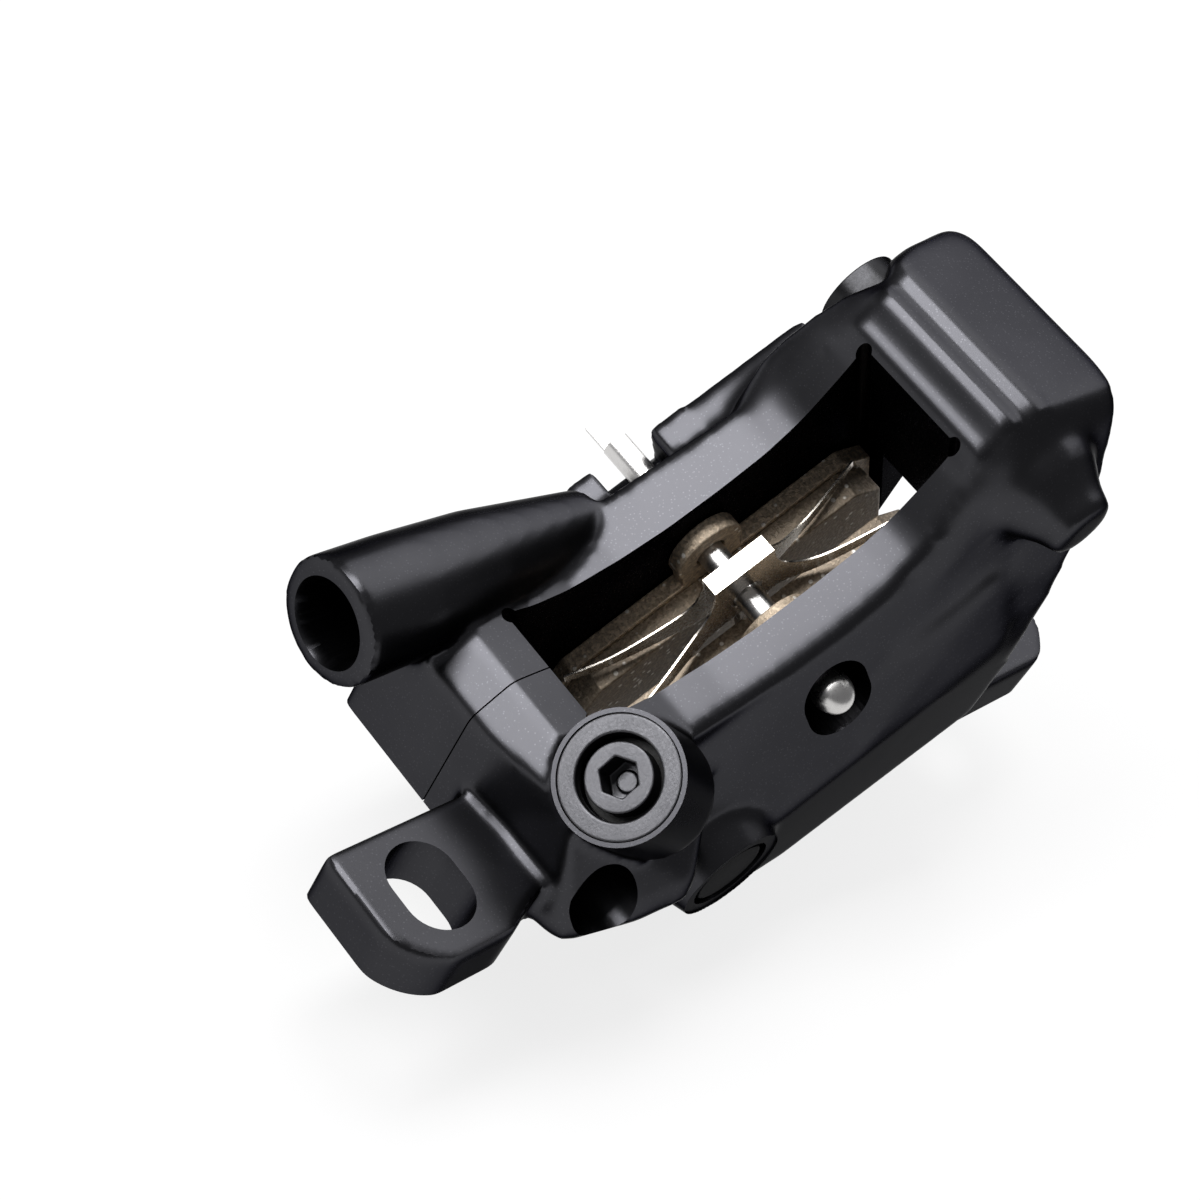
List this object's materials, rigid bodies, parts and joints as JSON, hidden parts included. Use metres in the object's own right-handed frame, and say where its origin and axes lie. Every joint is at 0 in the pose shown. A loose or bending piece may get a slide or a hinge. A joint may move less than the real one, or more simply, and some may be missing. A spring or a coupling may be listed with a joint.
{
  "type": "bicycle disc brake caliper",
  "caption": "Post-mount hydraulic disc brake caliper with a split black body, opposed pistons, top-loaded pads on a pin, a hose port and a bleed screw.",
  "frame": {"origin": "midway between the two mounting slots, on the underside of the ears that sits on the posts", "axes": "+X along the line of the slots to the far ear, +Y lateral and inboard to the wheel, +Z away from the posts; the pads lie tilted 35.4 degrees about Y"},
  "size_m": [0.0872, 0.0403, 0.053],
  "materials": {
    "body_black": "satin",
    "bleed_grey": "matte",
    "pin_steel": "polished",
    "spring_steel": "polished",
    "bolt_black": "satin",
    "plate_brown": "matte",
    "friction_brown": "matte",
    "piston_pale": "satin",
    "seal_black": "matte",
    "plug_black": "gloss"
  },
  "bodies": {
    "body": {"outboard_half": "body_black", "inboard_half": "body_black", "seals_near": "seal_black", "seals_far": "seal_black", "pad_spring": "spring_steel", "pad_pin": "pin_steel", "body_bolts": "bolt_black", "crossover_seal": "seal_black", "bleed_ring": "bleed_grey", "bleed_seal": "seal_black", "passage_plug": "plug_black", "plug_seal": "seal_black"},
    "pad_outboard": {"plate_outboard": "plate_brown", "friction_outboard": "friction_brown"},
    "pad_inboard": {"plate_inboard": "plate_brown", "friction_inboard": "friction_brown"},
    "piston_outboard_near": {"piston_outboard_near": "piston_pale"},
    "piston_outboard_far": {"piston_outboard_far": "piston_pale"},
    "piston_inboard_near": {"piston_inboard_near": "piston_pale"},
    "piston_inboard_far": {"piston_inboard_far": "piston_pale"},
    "bleed_screw": {"bleed_screw": "bleed_grey"}
  },
  "joints": [
    {"name": "inboard_pad_slide", "type": "slide", "parent": "body", "child": "pad_inboard", "axis": [0, -1, 0], "range_m": [0, 0.0012], "deforming": ["pad_spring"]},
    {"name": "outboard_pad_slide", "type": "slide", "parent": "body", "child": "pad_outboard", "axis": [0, 1, 0], "range_m": [0, 0.0012]},
    {"name": "piston_outboard_near_slide", "type": "slide", "parent": "body", "child": "piston_outboard_near", "axis": [0, 1, 0], "range_m": [0, 0.0012]},
    {"name": "piston_outboard_far_slide", "type": "slide", "parent": "body", "child": "piston_outboard_far", "axis": [0, 1, 0], "range_m": [0, 0.0012]},
    {"name": "piston_inboard_near_slide", "type": "slide", "parent": "body", "child": "piston_inboard_near", "axis": [0, -1, 0], "range_m": [0, 0.0012]},
    {"name": "piston_inboard_far_slide", "type": "slide", "parent": "body", "child": "piston_inboard_far", "axis": [0, -1, 0], "range_m": [0, 0.0012]},
    {"name": "bleed_screw_turn", "type": "hinge", "parent": "body", "child": "bleed_screw", "pos_m": [-0.0248, -0.0031, 0.017], "axis": [-0.7547, 0, 0.6561], "range_deg": [0, 90]}
  ],
  "couplings": [
    {"joint": "outboard_pad_slide", "follows": "inboard_pad_slide", "ratio": 1},
    {"joint": "piston_outboard_near_slide", "follows": "inboard_pad_slide", "ratio": 1},
    {"joint": "piston_outboard_far_slide", "follows": "inboard_pad_slide", "ratio": 1},
    {"joint": "piston_inboard_near_slide", "follows": "inboard_pad_slide", "ratio": 1},
    {"joint": "piston_inboard_far_slide", "follows": "inboard_pad_slide", "ratio": 1}
  ]
}
